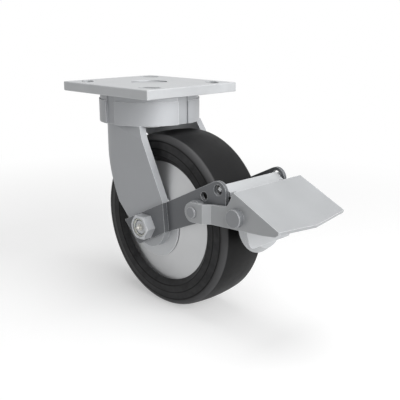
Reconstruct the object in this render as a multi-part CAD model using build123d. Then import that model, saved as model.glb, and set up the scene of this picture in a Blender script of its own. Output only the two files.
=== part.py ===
from build123d import *
import math
import os

# Swivel castor with a tread brake. Sizes in millimetres.
# Origin: centre of the top plate's upper face, on the swivel axis.
# X points to the trailing side where the pedal is, Y runs along the axle, Z is up.

# Pressed parts of the brake are all cut from one sheet
SHEET = 3.04

# Top plate
PLATE_LENGTH = 114.3
PLATE_WIDTH = 101.6
PLATE_THICK = 7.94
SLOT_WIDTH = 10.3
SLOT_CENTRE_X = 42.07
SLOT_CENTRE_Y = 35.72
SLOT_TRAVEL_X = 3.97
SLOT_TRAVEL_Y = 2.38

# Swivel section
RING_RADIUS = 44.2
RING_TOP = -13.4
RING_BOTTOM = -32.8
NECK_RADIUS = 43.3
NECK_GAP = 0.9
RING_BORE = 17.0
RING_LOWER_BORE = 29.5
RING_LEDGE = -23.2
NOTCH_WIDTH = 11.4
NOTCH_FLOOR = 42.0
UPPER_BALL = 4.5
UPPER_PITCH = 34.0
UPPER_BALL_Z = -11.6
LOWER_BALL = 3.175
LOWER_PITCH = 23.0
LOWER_BALL_Z = -24.7
BALL_COUNT = 20
BALL_PLAY = 0.3
KINGPIN_HEAD = 16.0
KINGPIN_HEAD_DEPTH = 5.2
KINGPIN_RECESS = 0.9
KINGPIN_SHANK = 12.95
KINGPIN_THREAD = 10.0
KINGPIN_END = -40.2
LOWER_RACE_RADIUS = 28.0
LOWER_RACE_THICK = 5.2
NUT_FLATS_KINGPIN = 30.0
NUT_HEIGHT_KINGPIN = 7.0

# Wheel
AXLE_X = 40.6
AXLE_Z = -114.3
WHEEL_RADIUS = 76.2
TREAD_EDGE_RADIUS = 75.0
TREAD_EDGE_Y = 19.0
SIDE_TOP_RADIUS = 69.2
SIDE_TOP_Y = 23.9
SIDE_STEP_RADIUS = 62.9
SIDE_STEP_Y = 25.45
SIDE_LIP_RADIUS = 56.8
SIDE_LIP_Y = 25.45
CORE_FACE_RADIUS = 52.1
CORE_FACE_Y = 20.9
CORE_RIM_RADIUS = 58.0
HUB_RADIUS = 28.7
HUB_BORE = 16.0
THRUST_WASHER = 1.3
THRUST_PLAY = 0.55

# Axle
AXLE_RADIUS = 6.35
AXLE_PLAY = 0.05
BUSHING_RADIUS = 9.5
ROLLER_RADIUS = 2.95
ROLLER_COUNT = 10
CAGE_RIM = 2.7
CAGE_INSET = 0.4
NUT_FLATS = 19.05
NUT_HEIGHT = 8.6
NUT_RECESS = 1.7
NUT_MOUTH = 8.0
HEAD_HEIGHT = 8.0

# Fork, a bent U of plate welded under the ring
FORK_HALF_WIDTH = 37.6
FORK_THICK = 6.35
LEG_END_RADIUS = 18.8
LEG_REAR_TRIM = 2.7
LEG_REAR_KNEE = (0.6, -101.4)
LEG_FRONT_TOP_X = 28.1
LEG_FRONT_X = 58.0
CREASE_X = 33.3
CREASE_Z = -43.1
CREASE_SLOPE = 13.6
CREASE_LEAN = 13.0

# Brake brackets, each stepped inwards in front of the leg
BRACKET_INSET = 1.5
BRACKET_TOP = ((11.5, -115.4), (115.4, -64.0))
BRACKET_TAIL = (29.8, -133.4)
BRACKET_LOW = ((64.0, -115.2), (101.8, -98.8))
BRACKET_END_X = 126.8
BRACKET_STEP = (62.2, -101.8)
BRACKET_STEP_TILT = -5.3
BRACKET_CORNER = 8.5
HANGER_DROP = (-0.4, -3.3)
HANGER_HOLE_RADIUS = 4.2
SPARE_HOLE = (104.0, -77.6)
SPARE_HOLE_RADIUS = 3.6

# Pedal
PEDAL_PIVOT = (98.6, -90.2)
PEDAL_OUTSET = 3.9
PEDAL_BACK = (137.5, -68.0)
PEDAL_FRONT = (180.0, -88.5)
PEDAL_TIP_X = 184.1
WING_LOW = ((115.4, -96.9), (131.9, -96.0), (165.3, -94.2), (177.0, -92.6), (179.6, -90.6))
WING_NECK = ((115.3, -81.7), (128.6, -80.4), (131.4, -79.4), (133.2, -77.0))
EYE_RADIUS = 7.8
EYE_STEP = 4.0
EYE_STEP_X = (109.8, 115.3)
PIVOT_RIVET = 3.2
PIVOT_PLAY = 0.06
PIVOT_HEAD = 4.7
PIVOT_HEAD_HEIGHT = 1.2
SPACER_RADIUS = 8.6
CROSS_PIN = (141.3, -86.1)
CROSS_PIN_RADIUS = 4.76
CROSS_PIN_HEAD = 7.05
CROSS_PIN_HEAD_HEIGHT = 4.8

# Brake shoe, hung between the brackets by two tabs
SHOE_LEAN = 13.0
SHOE_FACE = (142.1, -114.6)
SHOE_BOTTOM = -114.2
SHOE_TOP_EDGE = (119.0, -67.1)
SHOE_TOP_SLOPE = 29.0
SHOE_BEND_RADIUS = 7.0
SHOE_PLAY = 1.46
SHOE_TONGUE_HALF = 25.4
SHOE_SHOULDER_X = 126.9
SHOE_CORNER = 5.0
TAB_SHORT = 0.5
TAB_LENGTH = 2.9
TAB_BACK = 0.7
PAD_CENTRE = (127.65, -103.0)
PAD_RIM_RADIUS = 22.2
PAD_CUP_BACK_RADIUS = 18.2
PAD_FACE_RADIUS = 15.4
PAD_THICK = 5.7
PAD_RIVET = 4.0

# Small shared sizes
BREAK = 0.5
GAP = 0.3


def side_slab(points, y_low, y_high):
    """Solid from a closed outline in the X-Z plane, between two Y values."""
    outline = make_face(Polyline(*points, close=True))
    return extrude(Plane.XZ.offset(-y_high) * outline, amount=y_high - y_low)


def plan_slab(points, z_low, z_high):
    """Solid from a closed outline in the X-Y plane, between two Z values."""
    outline = make_face(Polyline(*points, close=True))
    return extrude(Plane.XY.offset(z_low) * outline, amount=z_high - z_low)


def y_rod(radius, y_low, y_high, x, z):
    """Round bar along Y."""
    return Pos(x, (y_low + y_high) / 2, z) * Rot(90, 0, 0) * Cylinder(radius, y_high - y_low)


def z_rod(radius, z_low, z_high):
    """Round bar along the swivel axis."""
    return Pos(0, 0, (z_low + z_high) / 2) * Cylinder(radius, z_high - z_low)


def y_hex(flats, y_low, y_high, x, z):
    """Hexagonal bar along Y with a corner pointing along X."""
    prism = extrude(RegularPolygon(flats / math.sqrt(3), 6), y_high - y_low)
    return Pos(x, y_high, z) * Rot(90, 0, 0) * prism


def hex_crown(flats, height):
    """Cone that takes the corners off a hexagon's end; its base is below the origin."""
    top = flats / 2 - 0.3
    return Cone(top + 2 * height * math.sqrt(3), top, 2 * height)


def ring_of_balls(radius, pitch, z, count):
    """Separate balls around the swivel axis."""
    balls = []
    for i in range(count):
        angle = math.radians(360 / count * i)
        balls.append(Pos(pitch * math.cos(angle), pitch * math.sin(angle), z) * Sphere(radius))
    return Compound(children=balls)


def race(pitch, z, radius):
    """Ring-shaped tool that cuts a ball groove around the swivel axis."""
    return Pos(0, 0, z) * Torus(pitch, radius)


def pair(solid):
    """A piece and its mirror image on the other side, as two solids of one node."""
    return Compound(children=[solid, mirror(solid, about=Plane.XZ)])


def line_z(points, x):
    """Height at x of the straight line through two points."""
    (x0, z0), (x1, z1) = points
    return z0 + (z1 - z0) * (x - x0) / (x1 - x0)


# Top plate, kingpin and ball races

def slot_tool(sign_x, sign_y):
    inner = (SLOT_CENTRE_X - SLOT_TRAVEL_X, SLOT_CENTRE_Y + SLOT_TRAVEL_Y)
    outer = (SLOT_CENTRE_X + SLOT_TRAVEL_X, SLOT_CENTRE_Y - SLOT_TRAVEL_Y)
    ends = [(sign_x * inner[0], sign_y * inner[1]), (sign_x * outer[0], sign_y * outer[1])]
    length = math.dist(*ends)
    angle = math.degrees(math.atan2(ends[1][1] - ends[0][1], ends[1][0] - ends[0][0]))
    outline = SlotCenterToCenter(length, SLOT_WIDTH)
    tool = extrude(outline, PLATE_THICK + 2)
    return Pos(sign_x * SLOT_CENTRE_X, sign_y * SLOT_CENTRE_Y, -PLATE_THICK - 1) * Rot(0, 0, angle) * tool


def make_top_plate():
    plate = Pos(0, 0, -PLATE_THICK / 2) * Box(PLATE_LENGTH, PLATE_WIDTH, PLATE_THICK)
    plate = chamfer(plate.edges(), BREAK)
    for sign_x in (-1, 1):
        for sign_y in (-1, 1):
            plate -= slot_tool(sign_x, sign_y)
    plate -= z_rod(KINGPIN_HEAD + 0.02, -KINGPIN_HEAD_DEPTH - KINGPIN_RECESS, 1)
    plate -= z_rod(KINGPIN_SHANK + 0.02, -PLATE_THICK - 1, 0)
    plate -= race(UPPER_PITCH, UPPER_BALL_Z, UPPER_BALL + BALL_PLAY)
    return plate


def make_kingpin():
    head_top = -KINGPIN_RECESS
    pin = z_rod(KINGPIN_HEAD, head_top - KINGPIN_HEAD_DEPTH, head_top)
    pin = chamfer(pin.edges().group_by(Axis.Z)[-1], 0.8)
    pin += z_rod(KINGPIN_SHANK, lower_race_bottom() + 1.0, head_top - 1)
    pin += z_rod(KINGPIN_THREAD, KINGPIN_END, head_top - 1)
    return chamfer(pin.edges().group_by(Axis.Z)[0], 1.0)


def lower_race_top():
    return LOWER_BALL_Z - 1.6


def lower_race_bottom():
    return lower_race_top() - LOWER_RACE_THICK


def make_lower_race():
    top = lower_race_top()
    washer = z_rod(LOWER_RACE_RADIUS, lower_race_bottom(), top)
    washer = chamfer(washer.edges(), BREAK)
    washer -= z_rod(KINGPIN_SHANK + 0.02, lower_race_bottom() + 1.0, top + 1)
    washer -= z_rod(KINGPIN_THREAD + 0.1, lower_race_bottom() - 1, top)
    washer -= race(LOWER_PITCH, LOWER_BALL_Z, LOWER_BALL + BALL_PLAY)
    return washer


def make_kingpin_nut():
    top = lower_race_bottom()
    nut = extrude(RegularPolygon(NUT_FLATS_KINGPIN / math.sqrt(3), 6), NUT_HEIGHT_KINGPIN)
    nut = Pos(0, 0, top - NUT_HEIGHT_KINGPIN) * nut
    nut &= Pos(0, 0, top) * Rot(180, 0, 0) * hex_crown(NUT_FLATS_KINGPIN, NUT_HEIGHT_KINGPIN)
    return nut - z_rod(KINGPIN_THREAD + 0.02, KINGPIN_END - 1, top + 1)


def make_swivel_ring():
    neck_top = -PLATE_THICK - NECK_GAP
    ring = z_rod(RING_RADIUS, RING_BOTTOM, RING_TOP)
    ring += z_rod(NECK_RADIUS, RING_BOTTOM, neck_top)
    ring -= z_rod(RING_BORE, RING_BOTTOM - 1, 0)
    ring -= z_rod(RING_LOWER_BORE, RING_BOTTOM - 1, RING_LEDGE)
    ring -= race(UPPER_PITCH, UPPER_BALL_Z, UPPER_BALL + BALL_PLAY)
    ring -= race(LOWER_PITCH, LOWER_BALL_Z, LOWER_BALL + BALL_PLAY)
    depth = RING_RADIUS - NOTCH_FLOOR + 2
    height = neck_top - RING_BOTTOM + 2
    for i in range(4):
        tool = Pos(NOTCH_FLOOR + depth / 2, 0, RING_BOTTOM - 1 + height / 2) * Box(depth, NOTCH_WIDTH, height)
        ring -= Rot(0, 0, 90 * i) * tool
    return ring


# Fork

def fork_outline():
    """Side view of the fork: two straight edges running down to the round axle boss."""
    tangent = LEG_END_RADIUS * math.sqrt(0.5)
    front_x = LEG_FRONT_X
    front_slope = (CREASE_X - LEG_FRONT_TOP_X) / (CREASE_Z - RING_BOTTOM)
    front_z = CREASE_Z + (front_x - CREASE_X) / front_slope
    return [
        (LEG_REAR_TRIM - FORK_HALF_WIDTH, RING_BOTTOM),
        (LEG_FRONT_TOP_X, RING_BOTTOM),
        (front_x, front_z),
        (front_x, AXLE_Z),
        (AXLE_X, AXLE_Z),
        (AXLE_X - tangent, AXLE_Z - tangent),
        LEG_REAR_KNEE,
    ]


def u_shell(half_width, z_low, z_high):
    """Solid U in plan: a half round at the back and straight to the front."""
    block = Pos(40, 0, (z_low + z_high) / 2) * Box(80, 2 * half_width, z_high - z_low)
    return block + z_rod(half_width, z_low, z_high)


def lean_wedge(face_y):
    """Wedge above the crease, between the upright leg face and the leaning one."""
    height = 25.0
    inward = height * math.tan(math.radians(CREASE_LEAN))
    triangle = make_face(Polyline((0, 0), (0, height), (-inward, height), close=True))
    wedge = extrude(triangle, 90, both=True)
    # Local x of the triangle is world Y, local y is up the leg, and the extrusion follows the crease.
    slope = math.radians(CREASE_SLOPE)
    frame = Plane(
        origin=(CREASE_X, face_y, CREASE_Z),
        x_dir=(0, 1, 0),
        z_dir=(math.cos(slope), 0, -math.sin(slope)),
    )
    return frame * wedge


def leg_wedges(face_y):
    wedge = lean_wedge(face_y)
    return [wedge, mirror(wedge, about=Plane.XZ)]


def make_fork():
    low = AXLE_Z - LEG_END_RADIUS - 1
    inner = FORK_HALF_WIDTH - FORK_THICK
    outline = side_slab(fork_outline(), -FORK_HALF_WIDTH - 1, FORK_HALF_WIDTH + 1)
    outline += y_rod(LEG_END_RADIUS, -FORK_HALF_WIDTH - 1, FORK_HALF_WIDTH + 1, AXLE_X, AXLE_Z)
    fork = u_shell(FORK_HALF_WIDTH, low, RING_BOTTOM) - u_shell(inner, low - 1, RING_BOTTOM + 1)
    for wedge in leg_wedges(inner):
        fork += wedge & u_shell(inner + 0.5, low, RING_BOTTOM)
    for wedge in leg_wedges(FORK_HALF_WIDTH):
        fork -= wedge
    fork &= outline
    return fork - y_rod(AXLE_RADIUS + AXLE_PLAY, -60, 60, AXLE_X, AXLE_Z)


# Wheel, bearing and axle

def wheel_revolve(profile):
    """Turn a closed radius and width profile about the axle."""
    face = make_face(Polyline(*[(r, y) for r, y in profile], close=True))
    return Pos(AXLE_X, 0, AXLE_Z) * revolve(face, Axis.Y)


def make_tyre():
    half = [
        (TREAD_EDGE_RADIUS, TREAD_EDGE_Y),
        (SIDE_TOP_RADIUS, SIDE_TOP_Y),
    ]
    with BuildPart() as body:
        with BuildSketch(Plane.XY):
            with BuildLine():
                ThreePointArc(
                    (TREAD_EDGE_RADIUS, -TREAD_EDGE_Y), (WHEEL_RADIUS, 0), (TREAD_EDGE_RADIUS, TREAD_EDGE_Y))
                shoulder = (
                    (TREAD_EDGE_RADIUS + SIDE_TOP_RADIUS) / 2 + 1.1,
                    (TREAD_EDGE_Y + SIDE_TOP_Y) / 2 + 1.1)
                ThreePointArc(half[0], shoulder, half[1])
                Polyline(
                    half[1],
                    (SIDE_STEP_RADIUS, SIDE_STEP_Y),
                    (SIDE_LIP_RADIUS, SIDE_LIP_Y),
                    (CORE_FACE_RADIUS, CORE_FACE_Y),
                    (CORE_RIM_RADIUS, CORE_FACE_Y),
                    (CORE_RIM_RADIUS, -CORE_FACE_Y),
                    (CORE_FACE_RADIUS, -CORE_FACE_Y),
                    (SIDE_LIP_RADIUS, -SIDE_LIP_Y),
                    (SIDE_STEP_RADIUS, -SIDE_STEP_Y),
                    (half[1][0], -half[1][1]))
                ThreePointArc(
                    (half[1][0], -half[1][1]), (shoulder[0], -shoulder[1]), (half[0][0], -half[0][1]))
            make_face()
        revolve(axis=Axis.Y)
    return Pos(AXLE_X, 0, AXLE_Z) * body.part


def hub_face_y():
    return hub_washer_y()[0] - THRUST_PLAY


def make_wheel_core():
    hub = hub_face_y()
    profile = [
        (HUB_BORE, -hub),
        (HUB_RADIUS, -hub),
        (CORE_FACE_RADIUS, -CORE_FACE_Y),
        (CORE_RIM_RADIUS, -CORE_FACE_Y),
        (CORE_RIM_RADIUS, CORE_FACE_Y),
        (CORE_FACE_RADIUS, CORE_FACE_Y),
        (HUB_RADIUS, hub),
        (HUB_BORE, hub),
    ]
    return wheel_revolve(profile)


def hub_washer_y():
    outer = FORK_HALF_WIDTH - FORK_THICK
    return outer - THRUST_WASHER, outer


def make_thrust_washers():
    low, high = hub_washer_y()
    washer = y_rod(HUB_RADIUS, low, high, AXLE_X, AXLE_Z)
    washer = chamfer(washer.edges(), 0.3)
    washer -= y_rod(BUSHING_RADIUS + 0.02, low - 1, high + 1, AXLE_X, AXLE_Z)
    return pair(washer)


def make_bushing():
    half = FORK_HALF_WIDTH - FORK_THICK
    tube = y_rod(BUSHING_RADIUS, -half, half, AXLE_X, AXLE_Z)
    return tube - y_rod(AXLE_RADIUS + AXLE_PLAY, -half - 1, half + 1, AXLE_X, AXLE_Z)


def roller_pitch():
    return (BUSHING_RADIUS + HUB_BORE) / 2


def roller_half_length():
    return hub_face_y() - CAGE_INSET - CAGE_RIM - GAP


def make_rollers():
    half = roller_half_length()
    rollers = []
    for i in range(ROLLER_COUNT):
        angle = math.radians(360 / ROLLER_COUNT * i)
        x = AXLE_X + roller_pitch() * math.cos(angle)
        z = AXLE_Z + roller_pitch() * math.sin(angle)
        rollers.append(y_rod(ROLLER_RADIUS, -half, half, x, z))
    return Compound(children=rollers)


def make_roller_cage():
    low = roller_half_length() + GAP
    high = low + CAGE_RIM
    outer = roller_pitch() + 1.9
    inner = roller_pitch() - 1.9
    cage = y_rod(outer, low, high, AXLE_X, AXLE_Z) - y_rod(inner, low - 1, high + 1, AXLE_X, AXLE_Z)
    cage += mirror(cage, about=Plane.XZ)
    for i in range(ROLLER_COUNT):
        angle = 360 / ROLLER_COUNT * (i + 0.5)
        bar = Rot(0, -angle, 0) * Pos(roller_pitch(), 0, 0) * Box(2.0, 2 * low + 1, 0.9)
        cage += Pos(AXLE_X, 0, AXLE_Z) * bar
    return cage


def make_axle_bolt():
    seat = bracket_seat_y()
    end = -seat - NUT_HEIGHT + NUT_RECESS
    bolt = y_rod(AXLE_RADIUS, end, seat + 1, AXLE_X, AXLE_Z)
    bolt = chamfer(bolt.edges().group_by(Axis.Y)[0], 0.9)
    head = y_hex(NUT_FLATS, seat, seat + HEAD_HEIGHT, AXLE_X, AXLE_Z)
    bolt += head & (Pos(AXLE_X, seat, AXLE_Z) * Rot(-90, 0, 0) * hex_crown(NUT_FLATS, HEAD_HEIGHT))
    bore = y_rod(1.6, end - 1, end + 9, AXLE_X, AXLE_Z)
    return bolt - bore


def make_axle_nut():
    seat = bracket_seat_y()
    nut = y_hex(NUT_FLATS, -seat - NUT_HEIGHT, -seat, AXLE_X, AXLE_Z)
    nut &= Pos(AXLE_X, -seat, AXLE_Z) * Rot(90, 0, 0) * hex_crown(NUT_FLATS, NUT_HEIGHT)
    nut -= y_rod(AXLE_RADIUS + 0.02, -seat - NUT_HEIGHT - 1, 0, AXLE_X, AXLE_Z)
    mouth = y_rod(NUT_MOUTH, -seat - NUT_HEIGHT - 1, -seat - NUT_HEIGHT + NUT_RECESS, AXLE_X, AXLE_Z)
    return nut - mouth


def make_grease_fitting():
    seat = bracket_seat_y()
    end = -seat - NUT_HEIGHT + NUT_RECESS
    stem = y_rod(1.55, end - 0.5, end + 6, AXLE_X, AXLE_Z)
    collar = y_hex(5.4, end - 1.2, end, AXLE_X, AXLE_Z)
    nose = y_rod(1.9, end - 2.6, end - 1.1, AXLE_X, AXLE_Z)
    tip = Pos(AXLE_X, end - 2.6, AXLE_Z) * Sphere(1.45)
    return stem + collar + nose + tip


# Brake brackets

def bracket_seat_y():
    """Outer face of the part of the bracket that lies on the leg."""
    return FORK_HALF_WIDTH + SHEET


def bracket_outer_y():
    """Outer face of the part of the bracket in front of the leg."""
    return FORK_HALF_WIDTH - BRACKET_INSET


def bracket_outline():
    return [
        BRACKET_TOP[0],
        (BRACKET_END_X, line_z(BRACKET_TOP, BRACKET_END_X)),
        (BRACKET_END_X, line_z(BRACKET_LOW, BRACKET_END_X)),
        BRACKET_LOW[0],
        BRACKET_TAIL,
    ]


def hanger_hole():
    """Middle of the bracket holes that the brake shoe's tabs hang and swing in."""
    return SHOE_TOP_EDGE[0] + HANGER_DROP[0], SHOE_TOP_EDGE[1] + HANGER_DROP[1]


def make_bracket():
    """The bracket on the -Y side."""
    seat = bracket_seat_y()
    step = seat - bracket_outer_y()
    x0, z0 = BRACKET_STEP
    plan = [
        (-90, -seat),
        (x0, -seat),
        (x0, -seat + step),
        (BRACKET_END_X + 90, -seat + step),
        (BRACKET_END_X + 90, -seat + step + SHEET),
        (x0 - SHEET, -seat + step + SHEET),
        (x0 - SHEET, -seat + SHEET),
        (-90, -seat + SHEET),
    ]
    outline = side_slab(bracket_outline(), -seat - 1, 0)
    far_edges = outline.edges().filter_by(Axis.Y).group_by(Axis.X)[-1]
    outline = fillet(far_edges, BRACKET_CORNER)
    blank = plan_slab([(x - x0, y) for x, y in plan], -90, 90)
    bracket = Pos(x0, 0, z0) * Rot(0, BRACKET_STEP_TILT, 0) * blank & outline
    bracket -= y_rod(AXLE_RADIUS + 0.2, -seat - 1, 0, AXLE_X, AXLE_Z)
    bracket -= y_rod(HANGER_HOLE_RADIUS, -seat - 1, 0, *hanger_hole())
    bracket -= y_rod(SPARE_HOLE_RADIUS, -seat - 1, 0, *SPARE_HOLE)
    bracket -= y_rod(PIVOT_RIVET + 0.02, -seat - 1, 0, *PEDAL_PIVOT)
    return bracket


# Pedal

def pedal_half_width():
    """Outer face of the pedal's sides, which stand clear of the brackets."""
    return bracket_outer_y() + PEDAL_OUTSET


def pedal_slope():
    """Angle of the pedal's tread plate below the horizontal."""
    return math.atan2(PEDAL_BACK[1] - PEDAL_FRONT[1], PEDAL_FRONT[0] - PEDAL_BACK[0])


def make_pedal():
    slope = pedal_slope()
    side = (PEDAL_FRONT[0] - PEDAL_BACK[0]) / math.cos(slope)
    tip = (PEDAL_TIP_X - PEDAL_BACK[0]) / math.cos(slope)
    half = pedal_half_width()
    outline = make_face(Polyline((0, -half), (side, -half), (tip, 0), (side, half), (0, half), close=True))
    face = Plane(
        origin=(PEDAL_BACK[0], 0, PEDAL_BACK[1]),
        x_dir=(math.cos(slope), 0, -math.sin(slope)),
        z_dir=(math.sin(slope), 0, math.cos(slope)),
    )
    deck = face * extrude(outline, -SHEET)
    wing = make_wing()
    pedal = deck + wing + mirror(wing, about=Plane.XZ)
    pedal -= y_rod(CROSS_PIN_RADIUS + 0.02, -60, 60, *CROSS_PIN)
    return pedal - y_rod(PIVOT_RIVET + PIVOT_PLAY, -60, 60, *PEDAL_PIVOT)


def make_wing():
    """Side of the pedal at -Y with the stepped link that ends in the pivot eye."""
    outer = pedal_half_width()
    eye_x, eye_z = PEDAL_PIVOT
    x0, x1 = EYE_STEP_X
    plan = [
        (0, -outer - EYE_STEP),
        (x0, -outer - EYE_STEP),
        (x1, -outer),
        (PEDAL_TIP_X + 1, -outer),
        (PEDAL_TIP_X + 1, -outer + SHEET),
        (x1 - 1.0, -outer + SHEET),
        (x0 - 1.0, -outer - EYE_STEP + SHEET),
        (0, -outer - EYE_STEP + SHEET),
    ]
    outline = [
        (eye_x, eye_z + EYE_RADIUS),
        *WING_NECK,
        PEDAL_BACK,
        PEDAL_FRONT,
        *reversed(WING_LOW),
        (eye_x, eye_z - EYE_RADIUS),
    ]
    blank = side_slab(outline, -60, 0) + y_rod(EYE_RADIUS, -60, 0, eye_x, eye_z)
    return blank & plan_slab(plan, -160, 0)


def make_pivot_rivets():
    eye_face = pedal_half_width() + EYE_STEP
    inside = bracket_outer_y() - SHEET
    x, z = PEDAL_PIVOT
    rivet = y_rod(PIVOT_RIVET, -eye_face - PIVOT_HEAD_HEIGHT, -inside + 1, x, z)
    head = y_rod(PIVOT_HEAD, -eye_face - GAP - PIVOT_HEAD_HEIGHT, -eye_face - GAP, x, z)
    rivet += chamfer(head.edges().group_by(Axis.Y)[0], 0.5)
    tail = y_rod(PIVOT_HEAD + 0.3, -inside, -inside + 1.8, x, z)
    rivet += chamfer(tail.edges().group_by(Axis.Y)[-1], 0.8)
    return pair(rivet)


def make_pivot_spacers():
    x, z = PEDAL_PIVOT
    low = -(pedal_half_width() + EYE_STEP - SHEET) + GAP
    spacer = y_rod(SPACER_RADIUS, low, -bracket_outer_y(), x, z)
    spacer -= y_rod(PIVOT_RIVET + 0.02, low - 1, 0, x, z)
    return pair(spacer)


def make_cross_pin():
    outer = pedal_half_width()
    x, z = CROSS_PIN
    pin = y_rod(CROSS_PIN_RADIUS, -outer - 1, outer + 1, x, z)
    head = y_rod(CROSS_PIN_HEAD, -outer - CROSS_PIN_HEAD_HEIGHT, -outer, x, z)
    pin += chamfer(head.edges().group_by(Axis.Y)[0], 0.4)
    tail = y_rod(CROSS_PIN_HEAD, outer, outer + CROSS_PIN_HEAD_HEIGHT, x, z)
    return pin + chamfer(tail.edges().group_by(Axis.Y)[-1], 0.4)


# Brake shoe

def shoe_face_x(z):
    """Outer face of the hanging plate, which leans outwards towards the bottom."""
    return SHOE_FACE[0] - (z - SHOE_FACE[1]) * math.tan(math.radians(SHOE_LEAN))


def shoe_bend_point():
    """Where the sloping lip and the hanging plate would meet without the bend."""
    lip = math.tan(math.radians(SHOE_TOP_SLOPE))
    lean = math.tan(math.radians(SHOE_LEAN))
    x0, z0 = SHOE_TOP_EDGE
    z = (z0 - lip * (SHOE_FACE[0] + SHOE_FACE[1] * lean - x0)) / (1 - lip * lean)
    return shoe_face_x(z), z


def shoe_top_half():
    """Half the lip's width, with play between it and the brackets' inner faces."""
    return bracket_outer_y() - SHEET - SHOE_PLAY


def make_shoe_plate():
    corner = shoe_bend_point()
    bottom = (shoe_face_x(SHOE_BOTTOM), SHOE_BOTTOM)
    with BuildSketch(Plane.XZ) as profile:
        with BuildLine() as path:
            FilletPolyline(SHOE_TOP_EDGE, corner, bottom, radius=SHOE_BEND_RADIUS)
            offset(amount=SHEET, side=Side.RIGHT, closed=True)
        make_face()
    blank = extrude(profile.sketch, amount=shoe_top_half(), both=True)
    side_cut = Pos(SHOE_SHOULDER_X + 50, SHOE_TONGUE_HALF + 30, SHOE_FACE[1]) * Box(100, 60, 200)
    blank -= side_cut
    blank -= mirror(side_cut, about=Plane.XZ)
    low_edges = blank.edges().filter_by(lambda e: abs(e.center().Z - SHOE_BOTTOM) < 3
                                        and abs(abs(e.center().Y) - SHOE_TONGUE_HALF) < 0.01
                                        and abs(e.length - SHEET) < 1.5)
    blank = fillet(low_edges, SHOE_CORNER)
    return blank + shoe_tabs()


def shoe_tabs():
    """Flat tongues at both ends of the lip that rest in the bracket holes."""
    slope = math.radians(SHOE_TOP_SLOPE)
    along = (math.cos(slope), -math.sin(slope))
    inward = (-math.sin(slope), -math.cos(slope))
    margin = 0.3
    start = (
        SHOE_TOP_EDGE[0] + along[0] * TAB_BACK + inward[0] * margin,
        SHOE_TOP_EDGE[1] + along[1] * TAB_BACK + inward[1] * margin,
    )
    depth = SHEET - 2 * margin
    corners = []
    for a, b in ((0, 0), (TAB_LENGTH, 0), (TAB_LENGTH, depth), (0, depth)):
        corners.append((start[0] + along[0] * a + inward[0] * b, start[1] + along[1] * a + inward[1] * b))
    reach = bracket_outer_y() - TAB_SHORT
    return side_slab(corners, -reach, reach)


def pad_frame(depth):
    """Plane across the pad at a depth from its rim circle towards the wheel."""
    lean = math.radians(SHOE_LEAN)
    x = PAD_CENTRE[0] - math.cos(lean) * depth
    z = PAD_CENTRE[1] - math.sin(lean) * depth
    return Plane(origin=(x, 0, z), x_dir=(0, 1, 0), z_dir=(-math.cos(lean), 0, -math.sin(lean)))


def pad_back():
    """Distance from the rim circle back to the inner face of the hanging plate."""
    lean = math.radians(SHOE_LEAN)
    gap_x = shoe_face_x(PAD_CENTRE[1]) - PAD_CENTRE[0]
    return gap_x * math.cos(lean) - SHEET


def make_pad_cup():
    back = pad_back()
    cup = loft([pad_frame(-back) * Circle(PAD_CUP_BACK_RADIUS), pad_frame(0) * Circle(PAD_RIM_RADIUS)])
    return cup - extrude(pad_frame(-back - 1) * Circle(PAD_RIVET + 0.02), back + 2)


def make_brake_pad():
    pad = extrude(pad_frame(0.0) * Circle(PAD_RIM_RADIUS - 1.0), 1.8)
    pad += loft([pad_frame(1.8) * Circle(PAD_RIM_RADIUS - 1.0), pad_frame(PAD_THICK) * Circle(PAD_FACE_RADIUS)])
    return pad - extrude(pad_frame(-1) * Circle(PAD_RIVET + 0.02), PAD_THICK + 2)


def make_pad_rivet():
    back = pad_back() + SHEET
    sunk = 2.0
    shank = extrude(pad_frame(-back) * Circle(PAD_RIVET), back + PAD_THICK - sunk)
    return shank


def make_parts():
    bracket = make_bracket()
    shoe_plate = make_shoe_plate() - extrude(pad_frame(-pad_back() - SHEET - 1)
                                             * Circle(PAD_RIVET + 0.02), SHEET + 2)
    return {
        "top_plate": make_top_plate(),
        "kingpin": make_kingpin(),
        "kingpin_nut": make_kingpin_nut(),
        "lower_race": make_lower_race(),
        "upper_balls": ring_of_balls(UPPER_BALL, UPPER_PITCH, UPPER_BALL_Z, BALL_COUNT),
        "lower_balls": ring_of_balls(LOWER_BALL, LOWER_PITCH, LOWER_BALL_Z, BALL_COUNT),
        "swivel_ring": make_swivel_ring(),
        "fork": make_fork(),
        "axle_bolt": make_axle_bolt(),
        "axle_nut": make_axle_nut(),
        "grease_fitting": make_grease_fitting(),
        "axle_bushing": make_bushing(),
        "thrust_washers": make_thrust_washers(),
        "rollers": make_rollers(),
        "roller_cage": make_roller_cage(),
        "wheel_core": make_wheel_core(),
        "tyre": make_tyre(),
        "bracket_near": bracket,
        "bracket_far": mirror(bracket, about=Plane.XZ),
        "pedal": make_pedal(),
        "pivot_rivets": make_pivot_rivets(),
        "pivot_spacers": make_pivot_spacers(),
        "cross_pin": make_cross_pin(),
        "shoe_plate": shoe_plate,
        "pad_cup": make_pad_cup(),
        "brake_pad": make_brake_pad(),
        "pad_rivet": make_pad_rivet(),
    }


os.makedirs("parts", exist_ok=True)
for name, shape in make_parts().items():
    export_step(shape, f"parts/{name}.step")
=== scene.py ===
"""Swivel castor with a pedal brake: its finishes, the nylon lock ring and a plain studio."""

import math

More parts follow.
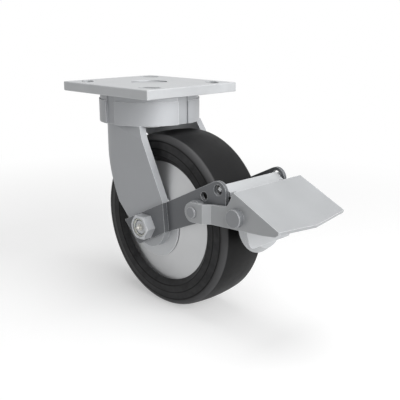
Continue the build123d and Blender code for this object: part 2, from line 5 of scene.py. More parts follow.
import bmesh
import bpy
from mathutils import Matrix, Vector


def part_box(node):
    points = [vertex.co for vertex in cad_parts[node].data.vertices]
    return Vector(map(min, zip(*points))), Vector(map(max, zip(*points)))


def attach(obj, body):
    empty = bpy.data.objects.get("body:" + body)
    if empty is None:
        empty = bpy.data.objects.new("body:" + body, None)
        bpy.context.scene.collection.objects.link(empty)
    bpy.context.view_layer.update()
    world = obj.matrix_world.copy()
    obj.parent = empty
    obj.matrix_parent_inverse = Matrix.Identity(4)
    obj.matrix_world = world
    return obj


bl_info = {
    "name": "Swivel castor with pedal brake",
    "version": (1, 0, 0),
    "blender": (4, 5, 0),
    "location": "3D View > Sidebar > Castor",
    "description": "Gives the packed castor its finishes, its small detail and a plain studio",
    "category": "Object",
}

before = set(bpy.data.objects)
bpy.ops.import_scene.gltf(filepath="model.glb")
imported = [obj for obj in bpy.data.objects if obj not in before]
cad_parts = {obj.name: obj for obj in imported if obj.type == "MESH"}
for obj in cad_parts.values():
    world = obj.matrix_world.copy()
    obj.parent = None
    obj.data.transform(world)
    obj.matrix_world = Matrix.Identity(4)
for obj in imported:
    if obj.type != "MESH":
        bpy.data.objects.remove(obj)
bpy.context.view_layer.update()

MM = 0.001

# The wheel, in millimetres: its axle, the tread's inner radius, and the radii and half width of the
# lines of painted shade where the side's rings meet
AXLE_X, AXLE_Z = 40.6, -114.3
TREAD_RADIUS = 75.0
RING_RADII = (56.8, 62.9, 69.2)
RING_SHADE_LINE_HALF = 0.45

# The lock nut's end face, and how deep its crown is counterbored
NUT_FACE_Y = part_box("axle_nut")[0].y
NUT_RECESS = 1.7 * MM

# The nylon ring: its steps around, and how its top is rounded at the bore and at the rim, each by a
# width and by the share of the height at which the rounding starts
LOCK_RING_STEPS = 72
BORE_ROUND, BORE_ROUND_FROM = 0.25 * MM, 0.55
RIM_ROUND, RIM_ROUND_FROM = 0.35 * MM, 0.6

# The studio, in metres; the camera was fitted to the plate's and wheel's edges
FLOOR_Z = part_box("tyre")[0].z
FLOOR_HALF = 6.0
FLOOR_LIFT = 0.42
WHITE_FROM, WHITE_TO = 0.24, 0.7
LAMP_AIM = Vector((0.06, 0.0, -0.095))
SIDE_LAMP_PLACE = Vector((1.25, -0.08, 0.4))
SIDE_LAMP_SIZE = 1.4
TOP_LAMP_PLACE = Vector((0.06, 0.1, 1.3))
TOP_LAMP_SIZE = 1.0
CAMERA_PLACE = (0.438194, -0.372667, 0.049655)
CAMERA_TURN = (74.632, 0.0, 45.160)
CAMERA_LENS = 57.906


# Colours and nodes

def linear(hex_colour):
    """The linear colour for an sRGB hex value."""
    channels = []
    for i in (1, 3, 5):
        value = int(hex_colour[i:i + 2], 16) / 255
        channels.append(value / 12.92 if value <= 0.04045 else ((value + 0.055) / 1.055) ** 2.4)
    return (*channels, 1.0)


def deeper(colour, share):
    """The same colour with this share of its light taken away."""
    return (*(channel * (1 - share) for channel in colour[:3]), 1.0)


def add_node(tree, kind, inputs=None, **settings):
    """One shader node with its settings, and its inputs set or linked."""
    node = tree.nodes.new(kind)
    for name, value in settings.items():
        setattr(node, name, value)
    for socket, value in (inputs or {}).items():
        if isinstance(value, bpy.types.NodeSocket):
            tree.links.new(value, node.inputs[socket])
        else:
            node.inputs[socket].default_value = value
    return node


def new_material(name):
    """An empty node material, and its tree and its coordinates in metres."""
    material = bpy.data.materials.new(name)
    material.use_nodes = True
    tree = material.node_tree
    tree.nodes.clear()
    where = add_node(tree, "ShaderNodeTexCoord").outputs["Object"]
    return material, tree, where


def finish_surface(tree, shader):
    """Links the shader to the material's output."""
    add_node(tree, "ShaderNodeOutputMaterial", {"Surface": shader.outputs[0]})


def edge_rub_and_highlight_mask(tree, width, flat=0.995, sharp=0.86):
    """1 on edges, which handling has rubbed and where a highlight is painted, and 0 on faces.

    Flat and sharp are the cosines of the turn at which the rub and the painted highlight start and are
    full."""
    rounded = add_node(tree, "ShaderNodeBevel", {"Radius": width * MM}, samples=4)
    face = add_node(tree, "ShaderNodeNewGeometry")
    cosine = add_node(
        tree, "ShaderNodeVectorMath",
        {0: rounded.outputs["Normal"], 1: face.outputs["Normal"]}, operation="DOT_PRODUCT")
    return add_node(
        tree, "ShaderNodeMapRange",
        {"Value": cosine.outputs["Value"], "From Min": flat, "From Max": sharp,
         "To Min": 0.0, "To Max": 1.0})


def seen_rays(tree):
    """1 for rays of the camera and of mirrors and glass, 0 for diffuse ones."""
    ray = add_node(tree, "ShaderNodeLightPath")
    seen = add_node(
        tree, "ShaderNodeMath",
        {0: ray.outputs["Is Camera Ray"], 1: ray.outputs["Is Glossy Ray"]}, operation="MAXIMUM")
    seen = add_node(
        tree, "ShaderNodeMath",
        {0: seen.outputs[0], 1: ray.outputs["Is Transmission Ray"]}, operation="MAXIMUM")
    return seen.outputs[0]


def zinc_plated(name, tint, cloud, rough, grain_axis, metal=0.45):
    """Zinc-plated steel with a clear passivate: cool grey, cloudy at the width of a thumb, fine
    mill lines along the sheet, and edges paler from rubbing and from a painted highlight."""
    material, tree, where = new_material(name)
    # The passivate's clouds are about 25 mm across.
    clouds = add_node(
        tree, "ShaderNodeTexNoise",
        {"Vector": where, "Scale": 1 / 0.025, "Detail": 3.0, "Roughness": 0.55})
    # Mill lines are near 0.1 mm in the real sheet and are drawn at 0.7 mm, or they wouldn't show.
    stretch = {"x": (60, 1400, 1400), "y": (1400, 60, 1400), "z": (1400, 1400, 60)}[grain_axis]
    along = add_node(tree, "ShaderNodeMapping", {"Vector": where, "Scale": stretch})
    lines = add_node(
        tree, "ShaderNodeTexNoise",
        {"Vector": along.outputs["Vector"], "Scale": 1.0, "Detail": 2.0, "Roughness": 0.5})
    base = add_node(
        tree, "ShaderNodeMix",
        {0: clouds.outputs["Fac"], 6: deeper(tint, cloud), 7: tint}, data_type="RGBA")
    # The edges are painted paler: partly rubbed zinc, partly a painted highlight.
    rub_and_highlight = edge_rub_and_highlight_mask(tree, 0.5)
    colour = add_node(
        tree, "ShaderNodeMix",
        {0: rub_and_highlight.outputs["Result"], 6: base.outputs[2], 7: linear("#E3E5E7")}, data_type="RGBA")
    gloss = add_node(
        tree, "ShaderNodeMapRange",
        {"Value": clouds.outputs["Fac"], "From Min": 0.3, "From Max": 0.7,
         "To Min": rough - 0.05, "To Max": rough + 0.07})
    relief = add_node(
        tree, "ShaderNodeBump",
        {"Strength": 0.12, "Distance": 0.0002, "Height": lines.outputs["Fac"]})
    shader = add_node(
        tree, "ShaderNodeBsdfPrincipled",
        {"Base Color": colour.outputs[2], "Metallic": metal, "Roughness": gloss.outputs["Result"],
         "Normal": relief.outputs["Normal"]})
    finish_surface(tree, shader)
    return material


def turned_steel(name, tint, cloud, rough, axis, metal=0.45):
    """Turned and zinc-plated steel: tool rings around the axis of the lathe, and edges paler from rubbing
    and from a painted highlight.
    """
    material, tree, where = new_material(name)
    clouds = add_node(
        tree, "ShaderNodeTexNoise",
        {"Vector": where, "Scale": 1 / 0.03, "Detail": 3.0, "Roughness": 0.5})
    # The tool's feed is near 0.15 mm and is drawn at 0.9 mm, or it wouldn't show.
    rings = add_node(
        tree, "ShaderNodeTexWave",
        {"Vector": where, "Scale": 1 / 0.0009, "Distortion": 0.6,
         "Detail": 2.0, "Detail Scale": 1.5},
        wave_type="BANDS", bands_direction=axis)
    base = add_node(
        tree, "ShaderNodeMix",
        {0: clouds.outputs["Fac"], 6: deeper(tint, cloud), 7: tint}, data_type="RGBA")
    # The edges are painted paler: partly rubbed zinc, partly a painted highlight.
    rub_and_highlight = edge_rub_and_highlight_mask(tree, 0.5)
    colour = add_node(
        tree, "ShaderNodeMix",
        {0: rub_and_highlight.outputs["Result"], 6: base.outputs[2], 7: linear("#E6E7E9")}, data_type="RGBA")
    relief = add_node(
        tree, "ShaderNodeBump",
        {"Strength": 0.1, "Distance": 0.0002, "Height": rings.outputs["Fac"]})
    gloss = add_node(
        tree, "ShaderNodeMapRange",
        {"Value": clouds.outputs["Fac"], "From Min": 0.3, "From Max": 0.7,
         "To Min": rough - 0.04, "To Max": rough + 0.06})
    shader = add_node(
        tree, "ShaderNodeBsdfPrincipled",
        {"Base Color": colour.outputs[2], "Metallic": metal, "Roughness": gloss.outputs["Result"],
         "Normal": relief.outputs["Normal"]})
    finish_surface(tree, shader)
    return material


def moulded_rubber(name, tint, dust_and_sheen_tint, rough):
    """Black moulded rubber: a satin skin with a grain of 0.6 mm, grey dust where it runs, and
    edges paler from dust and from a painted highlight."""
    material, tree, where = new_material(name)
    grain = add_node(
        tree, "ShaderNodeTexNoise",
        {"Vector": where, "Scale": 1 / 0.0006, "Detail": 2.0, "Roughness": 0.6})
    dust = add_node(
        tree, "ShaderNodeTexNoise",
        {"Vector": where, "Scale": 1 / 0.012, "Detail": 4.0, "Roughness": 0.6})
    worn = add_node(
        tree, "ShaderNodeMapRange",
        {"Value": dust.outputs["Fac"], "From Min": 0.45, "From Max": 0.85,
         "To Min": 0.0, "To Max": 0.3})
    # The edges are painted paler, partly dust and partly a painted highlight.
    edges = edge_rub_and_highlight_mask(tree, 0.7, 0.998, 0.94)
    dust_and_edge_sheen = add_node(
        tree, "ShaderNodeMath",
        {0: worn.outputs["Result"], 1: edges.outputs["Result"]}, operation="ADD", use_clamp=True)
    colour = add_node(
        tree, "ShaderNodeMix",
        {0: dust_and_edge_sheen.outputs[0], 6: tint, 7: dust_and_sheen_tint}, data_type="RGBA")
    gloss = add_node(
        tree, "ShaderNodeMapRange",
        {"Value": dust.outputs["Fac"], "From Min": 0.3, "From Max": 0.8,
         "To Min": rough, "To Max": rough + 0.12})
    relief = add_node(
        tree, "ShaderNodeBump",
        {"Strength": 0.1, "Distance": 0.0002, "Height": grain.outputs["Fac"]})
    shader = add_node(
        tree, "ShaderNodeBsdfPrincipled",
        {"Base Color": colour.outputs[2], "Roughness": gloss.outputs["Result"], "IOR": 1.52,
         "Specular IOR Level": 0.3, "Normal": relief.outputs["Normal"]})
    finish_surface(tree, shader)
    return material


def tyre_rubber(name, side_tint, shoulder_scuff_and_highlight_tint, tread_tint, crease_shade_tint, rough):
    """The tyre's rubber: dusty grey sides, a shoulder paler from scuffs and a painted highlight, a darker
    rolled tread, and black lines of painted shade where the side's rings meet."""
    material, tree, where = new_material(name)
    spoke = add_node(
        tree, "ShaderNodeVectorMath",
        {0: where, 1: (AXLE_X * MM, 0.0, AXLE_Z * MM)}, operation="SUBTRACT")
    spoke = add_node(
        tree, "ShaderNodeVectorMath", {0: spoke.outputs[0], 1: (1.0, 0.0, 1.0)}, operation="MULTIPLY")
    length = add_node(tree, "ShaderNodeVectorMath", {0: spoke.outputs[0]}, operation="LENGTH")
    radius = length.outputs["Value"]
    dust = add_node(
        tree, "ShaderNodeTexNoise",
        {"Vector": where, "Scale": 1 / 0.012, "Detail": 4.0, "Roughness": 0.6}).outputs["Fac"]
    dustiness = add_node(
        tree, "ShaderNodeMapRange",
        {"Value": dust, "From Min": 0.3, "From Max": 0.75, "To Min": 0.15, "To Max": 1.0})
    side = add_node(
        tree, "ShaderNodeMix",
        {0: dustiness.outputs["Result"], 6: tread_tint, 7: side_tint}, data_type="RGBA")
    # The shoulder beyond the last ring is painted a paler grey, partly scuffed and partly a painted
    # highlight, and the tread is rolled clean.
    scuff_and_highlight = add_node(
        tree, "ShaderNodeMapRange",
        {"Value": radius, "From Min": (RING_RADII[2] + 0.3) * MM, "From Max": (RING_RADII[2] + 2.0) * MM})
    colour = add_node(
        tree, "ShaderNodeMix",
        {0: scuff_and_highlight.outputs["Result"], 6: side.outputs[2], 7: shoulder_scuff_and_highlight_tint}, data_type="RGBA")
    rolled = add_node(
        tree, "ShaderNodeMapRange",
        {"Value": radius, "From Min": (TREAD_RADIUS - 0.5) * MM, "From Max": (TREAD_RADIUS - 0.1) * MM})
    colour = add_node(
        tree, "ShaderNodeMix",
        {0: rolled.outputs["Result"], 6: colour.outputs[2], 7: tread_tint}, data_type="RGBA")
    # Where the rings meet, black lines of painted shade fill the creases, 0.3 mm wide and drawn at 0.9 mm
    # so that they show.
    for ring in RING_RADII:
        line = add_node(
            tree, "ShaderNodeMath",
            {0: radius, 1: ring * MM, 2: RING_SHADE_LINE_HALF * MM}, operation="COMPARE")
        colour = add_node(
            tree, "ShaderNodeMix",
            {0: line.outputs[0], 6: colour.outputs[2], 7: crease_shade_tint}, data_type="RGBA")
    gloss = add_node(
        tree, "ShaderNodeMapRange",
        {"Value": dust, "From Min": 0.3, "From Max": 0.8, "To Min": rough, "To Max": rough + 0.12})
    grain = add_node(
        tree, "ShaderNodeTexNoise",
        {"Vector": where, "Scale": 1 / 0.0006, "Detail": 2.0, "Roughness": 0.6})
    relief = add_node(
        tree, "ShaderNodeBump",
        {"Strength": 0.1, "Distance": 0.0002, "Height": grain.outputs["Fac"]})
    shader = add_node(
        tree, "ShaderNodeBsdfPrincipled",
        {"Base Color": colour.outputs[2], "Roughness": gloss.outputs["Result"], "IOR": 1.52,
         "Specular IOR Level": 0.14, "Normal": relief.outputs["Normal"]})
    finish_surface(tree, shader)
    return material


def faced_aluminium(name, tint, cloud):
    """Cast aluminium faced on a lathe: fine rings around the axle, which stretch its sheen into streaks
    from hub to rim."""
    material, tree, where = new_material(name)
    clouds = add_node(
        tree, "ShaderNodeTexNoise",
        {"Vector": where, "Scale": 1 / 0.02, "Detail": 3.0, "Roughness": 0.5})
    colour = add_node(
        tree, "ShaderNodeMix",
        {0: clouds.outputs["Fac"], 6: deeper(tint, cloud), 7: tint}, data_type="RGBA")
    around = add_node(tree, "ShaderNodeTangent", direction_type="RADIAL", axis="Y")
    shader = add_node(
        tree, "ShaderNodeBsdfPrincipled",
        {"Base Color": colour.outputs[2], "Metallic": 0.85, "Roughness": 0.3,
         "Anisotropic": 0.85, "Tangent": around.outputs["Tangent"]})
    finish_surface(tree, shader)
    return material


def ground_steel(name, tint):
    """Ground and polished bearing steel with a thin film of grease."""
    material, tree, where = new_material(name)
    film = add_node(
        tree, "ShaderNodeTexNoise",
        {"Vector": where, "Scale": 1 / 0.004, "Detail": 2.0, "Roughness": 0.5})
    colour = add_node(
        tree, "ShaderNodeMix",
        {0: film.outputs["Fac"], 6: tint, 7: linear("#8F8D86")}, data_type="RGBA")
    gloss = add_node(
        tree, "ShaderNodeMapRange",
        {"Value": film.outputs["Fac"], "From Min": 0.3, "From Max": 0.7, "To Min": 0.12, "To Max": 0.28})
    shader = add_node(
        tree, "ShaderNodeBsdfPrincipled",
        {"Base Color": colour.outputs[2], "Metallic": 1.0, "Roughness": gloss.outputs["Result"]})
    finish_surface(tree, shader)
    return material


def moulded_nylon(name, tint):
    """Natural nylon as moulded: milky, with a slight unevenness of colour."""
    material, tree, where = new_material(name)
    mottle = add_node(
        tree, "ShaderNodeTexNoise",
        {"Vector": where, "Scale": 1 / 0.003, "Detail": 2.0, "Roughness": 0.5})
    colour = add_node(
        tree, "ShaderNodeMix",
        {0: mottle.outputs["Fac"], 6: tint, 7: linear("#CFCBBE")}, data_type="RGBA")
    shader = add_node(
        tree, "ShaderNodeBsdfPrincipled",
        {"Base Color": colour.outputs[2], "Roughness": 0.42, "IOR": 1.53, "Subsurface Weight": 0.15})
    finish_surface(tree, shader)
    return material


def dress(material, *node_names):
    """Puts one finish on every material slot of these CAD nodes."""
    for name in node_names:
        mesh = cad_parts[name].data
        if not mesh.materials:
            mesh.materials.append(material)
        for i in range(len(mesh.materials)):
            mesh.materials[i] = material


def object_from_bmesh(mesh_data, name, material, body):
    """Turns a finished bmesh into a named piece that moves with a body of the castor."""
    mesh = bpy.data.meshes.new(name)
    mesh_data.to_mesh(mesh)
    mesh_data.free()
    mesh.materials.append(material)
    for face in mesh.polygons:
        face.use_smooth = True
    piece = bpy.data.objects.new(name, mesh)
    bpy.context.scene.collection.objects.link(piece)
    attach(piece, body)
    return piece


# Settings

class CastorFinishSettings(bpy.types.PropertyGroup):
    """Colours of the castor's finishes."""
    plate_tint: bpy.props.FloatVectorProperty(
        name="Plate", description="Bright zinc on the top plate",
        subtype="COLOR", size=4, min=0.0, max=1.0, default=linear("#C0C2C4"))
    ring_tint: bpy.props.FloatVectorProperty(
        name="Swivel ring", description="Zinc on the turned swivel ring",
        subtype="COLOR", size=4, min=0.0, max=1.0, default=linear("#B0B2B5"))
    fork_tint: bpy.props.FloatVectorProperty(
        name="Fork", description="Satin zinc on the pressed fork",
        subtype="COLOR", size=4, min=0.0, max=1.0, default=linear("#ABADB0"))
    bracket_tint: bpy.props.FloatVectorProperty(
        name="Brackets", description="Grey passivate on the brake's brackets",
        subtype="COLOR", size=4, min=0.0, max=1.0, default=linear("#6E7073"))
    pedal_tint: bpy.props.FloatVectorProperty(
        name="Pedal", description="Zinc on the pedal",
        subtype="COLOR", size=4, min=0.0, max=1.0, default=linear("#AAACAE"))
    shoe_tint: bpy.props.FloatVectorProperty(
        name="Shoe plate", description="Bright zinc on the shoe plate and the pad's cup",
        subtype="COLOR", size=4, min=0.0, max=1.0, default=linear("#C4C6C8"))
    core_tint: bpy.props.FloatVectorProperty(
        name="Wheel core", description="Faced aluminium of the wheel's core",
        subtype="COLOR", size=4, min=0.0, max=1.0, default=linear("#BFC0C1"))
    tyre_tint: bpy.props.FloatVectorProperty(
        name="Tyre", description="Dusty rubber on the tyre's sides",
        subtype="COLOR", size=4, min=0.0, max=1.0, default=linear("#3C3C3D"))
    rubber_roughness: bpy.props.FloatProperty(
        name="Rubber roughness", description="How dull the tread's skin is",
        subtype="FACTOR", min=0.1, max=0.9, default=0.46)


class CastorLockRingSettings(bpy.types.PropertyGroup):
    """Sizes of the nylon ring in the axle's lock nut."""
    inner_radius: bpy.props.FloatProperty(
        name="Inner radius", description="Radius of the ring's bore, where it grips the bolt's thread",
        subtype="DISTANCE", unit="LENGTH", default=6.4 * MM)
    outer_radius: bpy.props.FloatProperty(
        name="Outer radius", description="Radius of the ring, where the nut's crown holds it",
        subtype="DISTANCE", unit="LENGTH", default=7.95 * MM)
    height: bpy.props.FloatProperty(
        name="Height", description="How far the ring stands over the bolt's end",
        subtype="DISTANCE", unit="LENGTH", default=0.7 * MM)


class CastorStudioSettings(bpy.types.PropertyGroup):
    """Lamps and surroundings."""
    fill: bpy.props.FloatProperty(
        name="Fill", description="Even light from all round", min=0.0, max=2.0, default=0.15)
    key_power: bpy.props.FloatProperty(
        name="Side lamp", description="Power of the soft lamp at the pedal's side",
        subtype="POWER", min=0.0, default=25.0)
    top_power: bpy.props.FloatProperty(
        name="Top lamp", description="Power of the soft lamp overhead",
        subtype="POWER", min=0.0, default=9.0)


# Pieces

class CASTOR_OT_plate_and_swivel(bpy.types.Operator):
    """Gives the top plate, kingpin and swivel ring their plated finishes"""
    bl_idname = "castor.plate_and_swivel"
    bl_label = "Plate and swivel ring"

    def execute(self, context):
        finish = context.scene.castor_finish
        # Hot-rolled plate under bright zinc: the palest metal on the castor.
        dress(zinc_plated("bright_zinc_plate", finish.plate_tint, 0.22, 0.42, "x", metal=0.35),
              "top_plate")
        # Turned steel under duller zinc, with rings around the swivel's axis.
        dress(turned_steel("turned_zinc_swivel_ring", finish.ring_tint, 0.21, 0.48, "Z", metal=0.35),
              "swivel_ring", "lower_race")
        # The kingpin is forged and faced on a lathe, and its zinc is a little glossier.
        dress(turned_steel("forged_kingpin_zinc", linear("#B4B6B9"), 0.24, 0.40, "Z"), "kingpin")
        return {"FINISHED"}


class CASTOR_OT_fork(bpy.types.Operator):
    """Gives the pressed steel fork its plated finish"""
    bl_idname = "castor.fork"
    bl_label = "Fork"

    def execute(self, context):
        # Thick pressed steel takes the zinc duller and darker than the turned parts.
        tint = context.scene.castor_finish.fork_tint
        dress(zinc_plated("satin_zinc_fork", tint, 0.18, 0.48, "z"), "fork")
        # The washers are tinted brighter than the fork beside them, as painted light against the shade
        # between the hub and the fork.
        dress(turned_steel("thrust_washer_steel", linear("#C6C8CA"), 0.18, 0.45, "Y"), "thrust_washers")
        return {"FINISHED"}


class CASTOR_OT_brake(bpy.types.Operator):
    """Gives the brake's brackets, pedal, shoe plate and pad their finishes"""
    bl_idname = "castor.brake"
    bl_label = "Pedal brake"

    def execute(self, context):
        finish = context.scene.castor_finish
        # The brackets are the darkest metal: cold-rolled sheet under a thin grey passivate.
        dress(zinc_plated("grey_zinc_brackets", finish.bracket_tint, 0.27, 0.46, "x"),
              "bracket_near", "bracket_far")
        # The pedal's thick sheet has a plainer, whiter zinc with less of a metal's shine.
        dress(zinc_plated("bright_zinc_pedal", finish.pedal_tint, 0.17, 0.44, "y", metal=0.25), "pedal")
        # The shoe plate and the cup on it are small pressings with the brightest zinc.
        dress(zinc_plated("bright_zinc_shoe_plate", finish.shoe_tint, 0.19, 0.42, "y"),
              "shoe_plate", "pad_cup")
        # The pad is cut from moulded rubber sheet: black, and dusty from the tread.
        dress(moulded_rubber("moulded_pad_rubber", linear("#1E1E1F"), linear("#3A3937"), 0.5),
              "brake_pad")
        return {"FINISHED"}


class CASTOR_OT_wheel(bpy.types.Operator):
    """Gives the tyre and the wheel's core their finishes"""
    bl_idname = "castor.wheel"
    bl_label = "Wheel"

    def execute(self, context):
        finish = context.scene.castor_finish
        # Moulded rubber, matt and grey with dust at the sides and rolled darker on the tread, with a
        # shoulder paler from scuffs and a painted highlight, and painted shade lines where the side's
        # rings meet.
        dress(tyre_rubber("moulded_tyre_rubber", finish.tyre_tint, linear("#4A4A4B"), linear("#0E0E0F"),
                          linear("#040404"), finish.rubber_roughness), "tyre")
        # Cast aluminium, faced on a lathe, so its dish shows a sheen around the axle.
        dress(faced_aluminium("faced_cast_aluminium", finish.core_tint, 0.09), "wheel_core")
        return {"FINISHED"}


class CASTOR_OT_bearings(bpy.types.Operator):
    """Gives the balls, rollers, bushing and cage their finishes"""
    bl_idname = "castor.bearings"
    bl_label = "Bearings"

    def execute(self, context):
        # Ground chrome steel mirrors its surroundings, broken by a film of grease.
        dress(ground_steel("ground_bearing_steel", linear("#C9CACB")),
              "upper_balls", "lower_balls", "rollers", "axle_bushing")
        # The cage is a plain dark pressing.
        dress(zinc_plated("pressed_steel_cage", linear("#8E9093"), 0.25, 0.4, "y"), "roller_cage")
        return {"FINISHED"}


class CASTOR_OT_fasteners(bpy.types.Operator):
    """Gives the axle bolt, nuts, rivets, pin and grease fitting their finishes"""
    bl_idname = "castor.fasteners"
    bl_label = "Fasteners"

    def execute(self, context):
        # Bolts and nuts come with a glossier bright zinc than the pressings.
        dress(zinc_plated("bright_zinc_fasteners", linear("#C4C6C9"), 0.23, 0.32, "y"),
              "axle_bolt", "axle_nut", "kingpin_nut", "pad_rivet")
        # Pins and rivets turn in their holes and have rubbed to a darker grey.
        dress(zinc_plated("headed_pin_zinc", linear("#8E9093"), 0.21, 0.38, "y"),
              "cross_pin", "pivot_rivets", "pivot_spacers")
        # The fitting is nickel plated, which is warmer than zinc.
        dress(zinc_plated("nickel_grease_fitting", linear("#CBC9C2"), 0.22, 0.28, "y"),
              "grease_fitting")
        return {"FINISHED"}


class CASTOR_OT_lock_ring(bpy.types.Operator):
    """Builds the nylon ring that the axle nut's crown holds"""
    bl_idname = "castor.lock_ring"
    bl_label = "Nylon lock ring"

    def execute(self, context):
        sizes = context.scene.castor_lock_ring
        floor_y = NUT_FACE_Y + NUT_RECESS
        profile = [
            (sizes.inner_radius, floor_y),
            (sizes.inner_radius, floor_y - sizes.height * BORE_ROUND_FROM),
            (sizes.inner_radius + BORE_ROUND, floor_y - sizes.height),
            (sizes.outer_radius - RIM_ROUND, floor_y - sizes.height),
            (sizes.outer_radius, floor_y - sizes.height * RIM_ROUND_FROM),
            (sizes.outer_radius, floor_y),
        ]
        ring = bmesh.new()
        loops = []
        for i in range(LOCK_RING_STEPS):
            angle = math.tau * i / LOCK_RING_STEPS
            loops.append([
                ring.verts.new((
                    AXLE_X * MM + radius * math.cos(angle), y, AXLE_Z * MM + radius * math.sin(angle)))
                for radius, y in profile])
        for i in range(LOCK_RING_STEPS):
            here, following = loops[i], loops[(i + 1) % LOCK_RING_STEPS]
            for j in range(len(profile) - 1):
                ring.faces.new((here[j], following[j], following[j + 1], here[j + 1]))
            ring.faces.new((here[-1], following[-1], following[0], here[0]))
        bmesh.ops.recalc_face_normals(ring, faces=ring.faces)
        object_from_bmesh(ring, "nylon_lock_ring", moulded_nylon("natural_nylon", linear("#E2DFD4")),
                          "fork_body")
        return {"FINISHED"}


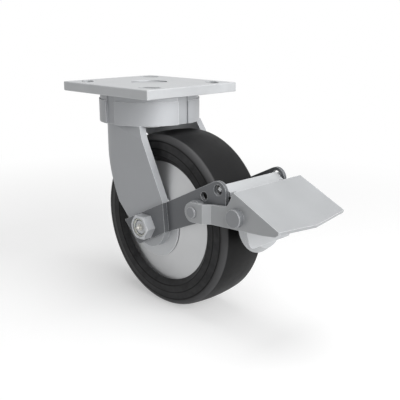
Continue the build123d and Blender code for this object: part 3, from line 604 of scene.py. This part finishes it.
class CASTOR_OT_studio(bpy.types.Operator):
    """Builds the floor, the soft lamps, the white surroundings and the camera"""
    bl_idname = "castor.studio"
    bl_label = "Studio"

    def execute(self, context):
        settings = context.scene.castor_studio
        scene = context.scene
        self.build_floor(scene)
        self.build_world(scene, settings)
        self.add_lamp(scene, "side_lamp", SIDE_LAMP_PLACE, SIDE_LAMP_SIZE, settings.key_power)
        self.add_lamp(scene, "top_lamp", TOP_LAMP_PLACE, TOP_LAMP_SIZE, settings.top_power)
        self.add_camera(scene)
        scene.view_settings.view_transform = "Standard"
        return {"FINISHED"}

    def build_floor(self, scene):
        floor_mesh = bmesh.new()
        bmesh.ops.create_grid(floor_mesh, x_segments=1, y_segments=1, size=FLOOR_HALF)
        bmesh.ops.translate(floor_mesh, verts=floor_mesh.verts, vec=(0, 0, FLOOR_Z))
        mesh = bpy.data.meshes.new("floor")
        floor_mesh.to_mesh(mesh)
        floor_mesh.free()
        # The lamps light the floor as a light grey. Its glow near the castor and its fade to white
        # further out reach the camera, mirrors and glass, and add no diffuse light to the castor.
        material, tree, where = new_material("matt_white_floor")
        mottle = add_node(
            tree, "ShaderNodeTexNoise", {"Vector": where, "Scale": 6.0, "Detail": 1.0})
        colour = add_node(
            tree, "ShaderNodeMix",
            {0: mottle.outputs["Fac"], 6: linear("#CFCFCF"), 7: linear("#D2D2D2")}, data_type="RGBA")
        matt = add_node(tree, "ShaderNodeBsdfDiffuse", {"Color": colour.outputs[2]})
        away = add_node(tree, "ShaderNodeVectorMath", {0: where}, operation="LENGTH")
        far = add_node(
            tree, "ShaderNodeMapRange",
            {"Value": away.outputs["Value"], "From Min": WHITE_FROM, "From Max": WHITE_TO},
            interpolation_type="SMOOTHSTEP")
        seen = seen_rays(tree)
        near_lift = add_node(
            tree, "ShaderNodeMath", {0: seen, 1: FLOOR_LIFT}, operation="MULTIPLY")
        glow = add_node(tree, "ShaderNodeEmission", {"Strength": near_lift.outputs[0]})
        near_floor = add_node(tree, "ShaderNodeAddShader", {0: matt.outputs[0], 1: glow.outputs[0]})
        white = add_node(tree, "ShaderNodeEmission", {"Color": linear("#FFFFFF"), "Strength": 1.0})
        fade = add_node(
            tree, "ShaderNodeMath", {0: seen, 1: far.outputs[0]}, operation="MULTIPLY")
        both = add_node(
            tree, "ShaderNodeMixShader",
            {0: fade.outputs[0], 1: near_floor.outputs[0], 2: white.outputs[0]})
        finish_surface(tree, both)
        mesh.materials.append(material)
        floor = bpy.data.objects.new("floor", mesh)
        scene.collection.objects.link(floor)

    def build_world(self, scene, settings):
        world = bpy.data.worlds.new("studio")
        scene.world = world
        world.use_nodes = True
        tree = world.node_tree
        tree.nodes.clear()
        fill = add_node(
            tree, "ShaderNodeBackground", {"Color": linear("#FFFFFF"), "Strength": settings.fill})
        white = add_node(tree, "ShaderNodeBackground", {"Color": linear("#FFFFFF"), "Strength": 1.0})
        mix = add_node(
            tree, "ShaderNodeMixShader",
            {0: seen_rays(tree), 1: fill.outputs[0], 2: white.outputs[0]})
        add_node(tree, "ShaderNodeOutputWorld", {"Surface": mix.outputs[0]})

    def add_lamp(self, scene, name, place, size, power):
        light = bpy.data.lights.new(name, "AREA")
        light.shape = "RECTANGLE"
        light.size = size
        light.size_y = size
        light.energy = power
        lamp = bpy.data.objects.new(name, light)
        lamp.location = place
        lamp.rotation_euler = (LAMP_AIM - place).to_track_quat("-Z", "Y").to_euler()
        scene.collection.objects.link(lamp)

    def add_camera(self, scene):
        data = bpy.data.cameras.new("photo_view")
        data.sensor_width = 36.0
        data.lens = CAMERA_LENS
        data.clip_start = 0.01
        data.clip_end = 50.0
        camera = bpy.data.objects.new("photo_view", data)
        camera.location = CAMERA_PLACE
        camera.rotation_euler = [math.radians(turn) for turn in CAMERA_TURN]
        scene.collection.objects.link(camera)
        scene.camera = camera


OPERATORS = (
    CASTOR_OT_plate_and_swivel,
    CASTOR_OT_fork,
    CASTOR_OT_brake,
    CASTOR_OT_wheel,
    CASTOR_OT_bearings,
    CASTOR_OT_fasteners,
    CASTOR_OT_lock_ring,
    CASTOR_OT_studio,
)


class CASTOR_PT_pieces(bpy.types.Panel):
    """The castor's operators and settings"""
    bl_idname = "CASTOR_PT_pieces"
    bl_label = "Swivel castor"
    bl_space_type = "VIEW_3D"
    bl_region_type = "UI"
    bl_category = "Castor"

    def draw(self, context):
        for operator in OPERATORS:
            self.layout.operator(operator.bl_idname)
        for group, names in (
                (context.scene.castor_finish,
                 ("plate_tint", "ring_tint", "fork_tint", "bracket_tint", "pedal_tint", "shoe_tint",
                  "core_tint", "tyre_tint", "rubber_roughness")),
                (context.scene.castor_lock_ring, ("inner_radius", "outer_radius", "height")),
                (context.scene.castor_studio, ("fill", "key_power", "top_power"))):
            for name in names:
                self.layout.prop(group, name)


CLASSES = (
    CastorFinishSettings,
    CastorLockRingSettings,
    CastorStudioSettings,
    *OPERATORS,
    CASTOR_PT_pieces,
)


def register():
    for cls in CLASSES:
        bpy.utils.register_class(cls)
    bpy.types.Scene.castor_finish = bpy.props.PointerProperty(type=CastorFinishSettings)
    bpy.types.Scene.castor_lock_ring = bpy.props.PointerProperty(type=CastorLockRingSettings)
    bpy.types.Scene.castor_studio = bpy.props.PointerProperty(type=CastorStudioSettings)


def unregister():
    del bpy.types.Scene.castor_studio
    del bpy.types.Scene.castor_lock_ring
    del bpy.types.Scene.castor_finish
    for cls in reversed(CLASSES):
        bpy.utils.unregister_class(cls)


def main():
    register()
    bpy.ops.castor.plate_and_swivel()
    bpy.ops.castor.fork()
    bpy.ops.castor.brake()
    bpy.ops.castor.wheel()
    bpy.ops.castor.bearings()
    bpy.ops.castor.fasteners()
    bpy.ops.castor.lock_ring()
    bpy.ops.castor.studio()


if __name__ == "__main__":
    main()
